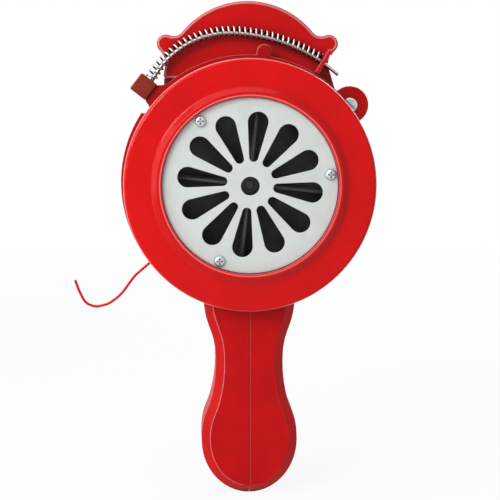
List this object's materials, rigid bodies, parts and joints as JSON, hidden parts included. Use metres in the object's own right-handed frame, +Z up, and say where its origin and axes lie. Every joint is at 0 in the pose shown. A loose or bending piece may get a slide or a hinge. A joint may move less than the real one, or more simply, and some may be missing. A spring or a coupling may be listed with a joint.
{
  "type": "hand crank siren",
  "caption": "Hand-held crank siren: round flanged head with petal intake grille, spring-loaded ring shutter, eared gearbox with a crank behind, and a waisted grip.",
  "frame": {"origin": "middle of the hand grip's waist, halfway through its depth", "axes": "+Z up along the grip towards the siren's head, -Y forwards out of the intake grille, +X to the right as seen from the front"},
  "size_m": [0.1946, 0.1499, 0.3113],
  "materials": {
    "red_paint": "glossy powder coat",
    "dark_red_paint": "satin powder coat",
    "grip_red": "moulded, slightly glossy",
    "satin_silver": "fine satin anodised",
    "cast_aluminium": "cast and turned",
    "zinc_steel": "zinc plated",
    "bright_nickel": "bright nickel",
    "bearing_steel": "ground",
    "gear_steel": "hobbed and oiled",
    "brass": "turned",
    "brown_block": "matt moulded",
    "black_knob": "satin moulded"
  },
  "bodies": {
    "frame": {"front_flange": "red_paint", "intake_grille": "satin_silver", "grille_screws": "zinc_steel", "stator_drum": "red_paint", "drum_front_screws": "zinc_steel", "drum_rear_screws": "zinc_steel", "bearing_outer_rings": "bearing_steel", "bearing_balls": "bright_nickel", "stop_screw": "zinc_steel", "return_spring": "bright_nickel", "front_plate": "red_paint", "gearbox_housing": "dark_red_paint", "gearbox_cover": "red_paint", "cover_screws": "zinc_steel", "crank_bushes": "brass", "idler_pin": "bearing_steel", "grip_left": "grip_red", "grip_right": "grip_red", "grip_screws": "zinc_steel", "handle_core": "cast_aluminium", "core_screws": "zinc_steel", "wire_hook": "dark_red_paint", "hook_screw": "zinc_steel"},
    "rotor": {"rotor": "cast_aluminium", "rotor_shaft": "bearing_steel", "rotor_washer": "zinc_steel", "rotor_nut": "zinc_steel", "bearing_inner_rings": "bearing_steel", "rotor_pinion": "gear_steel"},
    "shutter": {"shutter_ring": "dark_red_paint", "shutter_sleeve": "dark_red_paint", "thumb_block": "brown_block", "block_screw": "zinc_steel", "guide_rod": "bright_nickel"},
    "idler": {"idler_pinion": "brass", "idler_gear": "gear_steel"},
    "crank": {"crank_shaft": "bearing_steel", "crank_gear": "gear_steel", "gear_pin": "bearing_steel", "crank_arm": "dark_red_paint", "crank_nut": "zinc_steel", "knob_spindle": "zinc_steel", "knob_washers": "zinc_steel", "knob_nut": "zinc_steel"},
    "knob": {"crank_knob": "black_knob"}
  },
  "joints": [
    {"name": "crank_turn", "type": "hinge", "parent": "frame", "child": "crank", "pos_m": [0, 0, 0.1739], "axis": [0, 1, 0], "continuous": true},
    {"name": "idler_spin", "type": "hinge", "parent": "frame", "child": "idler", "pos_m": [0.03115, 0, 0.13164], "axis": [0, 1, 0], "continuous": true},
    {"name": "rotor_spin", "type": "hinge", "parent": "frame", "child": "rotor", "pos_m": [0, 0, 0.1136], "axis": [0, 1, 0], "continuous": true},
    {"name": "knob_spin", "type": "hinge", "parent": "crank", "child": "knob", "pos_m": [0.0701, 0, 0.1614], "axis": [0, 1, 0], "continuous": true},
    {"name": "shutter_turn", "type": "hinge", "parent": "frame", "child": "shutter", "pos_m": [0, 0, 0.1136], "axis": [0, 1, 0], "range_deg": [0, 20.5], "stiffness_Nm_per_rad": 5.6, "springref_deg": -5.73, "deforming": ["return_spring"]}
  ],
  "couplings": [
    {"joint": "idler_spin", "follows": "crank_turn", "ratio": -6},
    {"joint": "rotor_spin", "follows": "crank_turn", "ratio": 30}
  ]
}
